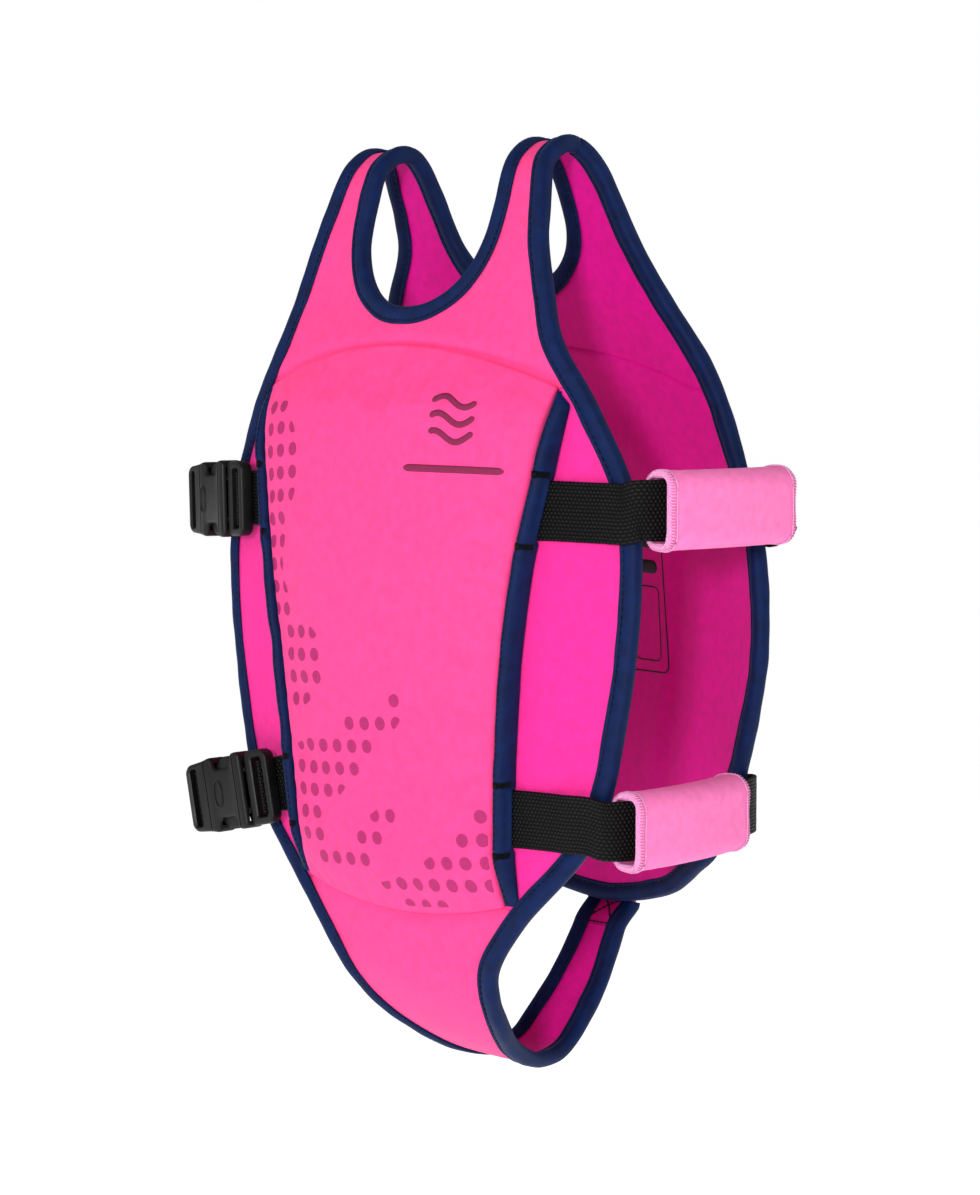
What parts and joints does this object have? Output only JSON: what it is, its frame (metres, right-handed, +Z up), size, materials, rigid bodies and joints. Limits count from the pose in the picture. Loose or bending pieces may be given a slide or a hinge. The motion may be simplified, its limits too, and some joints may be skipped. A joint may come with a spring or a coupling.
{
  "type": "child swim vest",
  "caption": "Child's neoprene swim vest: foam floats front and back, crotch strap, side-release buckles on one side and neoprene strap sleeves on the other",
  "frame": {"origin": "midway between the two shoulder straps, level with the undersides of their tops, where the vest rests on the wearer or on a hanger", "axes": "+Z up along the wearer's spine, the front of the vest faces -Y, +X is the wearer's left"},
  "size_m": [0.2945, 0.1541, 0.3994],
  "materials": {
    "bright_pink_neoprene": "jersey-faced neoprene, matt",
    "deep_pink_neoprene": "jersey-faced neoprene, matt",
    "light_pink_neoprene": "jersey-faced neoprene, overlocked ends",
    "navy_binding": "folded knitted edge binding",
    "float_foam": "closed-cell foam sheet",
    "black_webbing": "woven polypropylene webbing",
    "black_plastic": "moulded acetal, lightly textured"
  },
  "bodies": {
    "root": {"front_lining": "deep_pink_neoprene", "front_foam": "float_foam", "front_float_cover": "bright_pink_neoprene", "back_lining": "deep_pink_neoprene", "back_foam": "float_foam", "back_float_cover": "bright_pink_neoprene", "front_yoke": "bright_pink_neoprene", "back_yoke": "bright_pink_neoprene", "front_left_wing": "deep_pink_neoprene", "back_left_wing": "deep_pink_neoprene", "front_left_float_strip": "navy_binding", "back_left_float_strip": "navy_binding", "left_edge_binding": "navy_binding", "front_right_wing": "deep_pink_neoprene", "back_right_wing": "deep_pink_neoprene", "front_right_float_strip": "navy_binding", "back_right_float_strip": "navy_binding", "right_edge_binding": "navy_binding", "crotch_strap": "bright_pink_neoprene", "rear_tab": "bright_pink_neoprene", "back_hem_panel": "deep_pink_neoprene", "back_edge_binding": "navy_binding", "neck_binding": "navy_binding", "upper_left_webbing": "black_webbing", "upper_buckle_female": "black_plastic", "upper_buckle_male": "black_plastic", "upper_right_front_webbing": "black_webbing", "upper_right_back_webbing": "black_webbing", "lower_left_webbing": "black_webbing", "lower_buckle_female": "black_plastic", "lower_buckle_male": "black_plastic", "lower_right_front_webbing": "black_webbing", "lower_right_back_webbing": "black_webbing"},
    "upper_sleeve": {"upper_sleeve": "light_pink_neoprene"},
    "upper_top_prong": {"upper_buckle_top_prong": "black_plastic"},
    "upper_bottom_prong": {"upper_buckle_bottom_prong": "black_plastic"},
    "lower_sleeve": {"lower_sleeve": "light_pink_neoprene"},
    "lower_top_prong": {"lower_buckle_top_prong": "black_plastic"},
    "lower_bottom_prong": {"lower_buckle_bottom_prong": "black_plastic"}
  },
  "joints": [
    {"name": "upper_sleeve_slide", "type": "hinge", "parent": "root", "child": "upper_sleeve", "pos_m": [-0.0427, 0.007, -0.145], "axis": [0, 0, 1], "range_deg": [0, 3.2]},
    {"name": "upper_top_prong_squeeze", "type": "hinge", "parent": "root", "child": "upper_top_prong", "pos_m": [-0.10899, -0.04094, -0.13884], "axis": [-0.28, -0.96, 0], "range_deg": [0, 14], "stiffness_Nm_per_rad": 0.4},
    {"name": "upper_bottom_prong_squeeze", "type": "hinge", "parent": "root", "child": "upper_bottom_prong", "pos_m": [-0.10815, -0.04118, -0.15642], "axis": [-0.28, -0.96, 0], "range_deg": [-14, 0], "stiffness_Nm_per_rad": 0.4},
    {"name": "lower_sleeve_slide", "type": "hinge", "parent": "root", "child": "lower_sleeve", "pos_m": [-0.059, -0.0141, -0.2725], "axis": [0, 0, 1], "range_deg": [0, 3.2]},
    {"name": "lower_top_prong_squeeze", "type": "hinge", "parent": "root", "child": "lower_top_prong", "pos_m": [-0.09289, -0.04688, -0.2663], "axis": [0, -1, 0], "range_deg": [0, 14], "stiffness_Nm_per_rad": 0.4},
    {"name": "lower_bottom_prong_squeeze", "type": "hinge", "parent": "root", "child": "lower_bottom_prong", "pos_m": [-0.08909, -0.04688, -0.28348], "axis": [0, -1, 0], "range_deg": [-14, 0], "stiffness_Nm_per_rad": 0.4}
  ],
  "couplings": [
    {"joint": "upper_bottom_prong_squeeze", "follows": "upper_top_prong_squeeze", "ratio": -1},
    {"joint": "lower_bottom_prong_squeeze", "follows": "lower_top_prong_squeeze", "ratio": -1}
  ]
}
